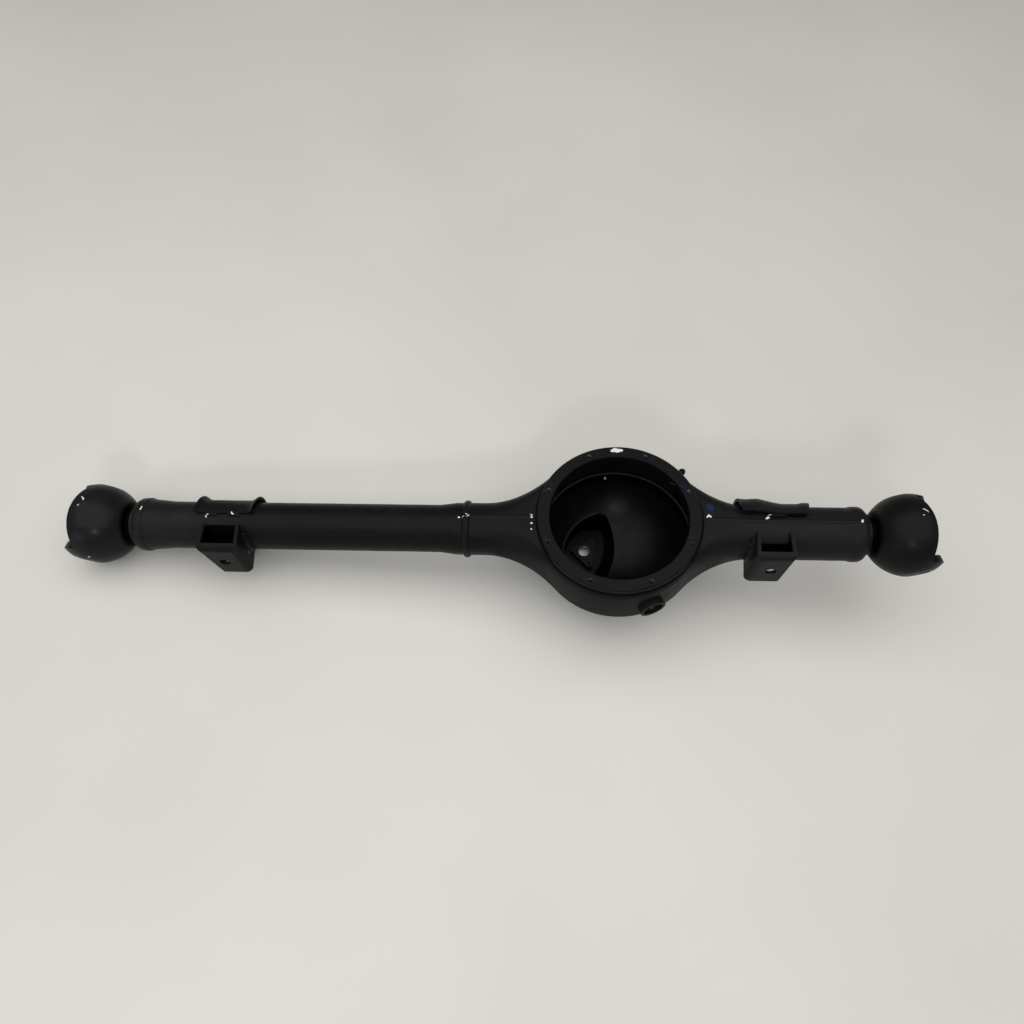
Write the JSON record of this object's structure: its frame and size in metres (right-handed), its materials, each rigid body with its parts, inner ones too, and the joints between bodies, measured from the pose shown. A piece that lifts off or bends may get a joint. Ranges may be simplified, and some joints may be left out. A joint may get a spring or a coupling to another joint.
{
  "type": "axle housing",
  "caption": "Welded banjo axle housing: round carrier opening with bolt ring, domed rear cover, axle tubes ending in hollow knuckle balls, spring seats and saddles.",
  "frame": {"origin": "centre of the carrier ring's face", "axes": "+X along the axle to the short side, +Y to the top of the vehicle, +Z out of the carrier opening"},
  "size_m": [1.1698, 0.2258, 0.1626],
  "materials": {
    "black_paint": "satin black primer",
    "ring_paint": "satin black primer on a machined face",
    "weld_paint": "satin black primer over weld beads"
  },
  "bodies": {
    "root": {"breather_baffle": "black_paint", "breather_nipple": "black_paint", "carrier_ring": "ring_paint", "dome_cover": "black_paint", "dome_weld": "weld_paint", "drain_boss": "black_paint", "filler_nut": "black_paint", "front_seam_weld": "weld_paint", "left_axle_tube": "black_paint", "left_ball_weld": "weld_paint", "left_knuckle_ball": "black_paint", "left_saddle": "black_paint", "left_saddle_weld": "weld_paint", "left_seat_weld": "weld_paint", "left_spring_seat": "black_paint", "lower_banjo_shell": "black_paint", "rear_seam_weld": "weld_paint", "right_ball_weld": "weld_paint", "right_knuckle_ball": "black_paint", "right_saddle": "black_paint", "right_saddle_weld": "weld_paint", "right_seat_weld": "weld_paint", "right_spring_seat": "black_paint", "tube_joint_weld": "weld_paint", "upper_banjo_shell": "black_paint"}
  },
  "joints": []
}
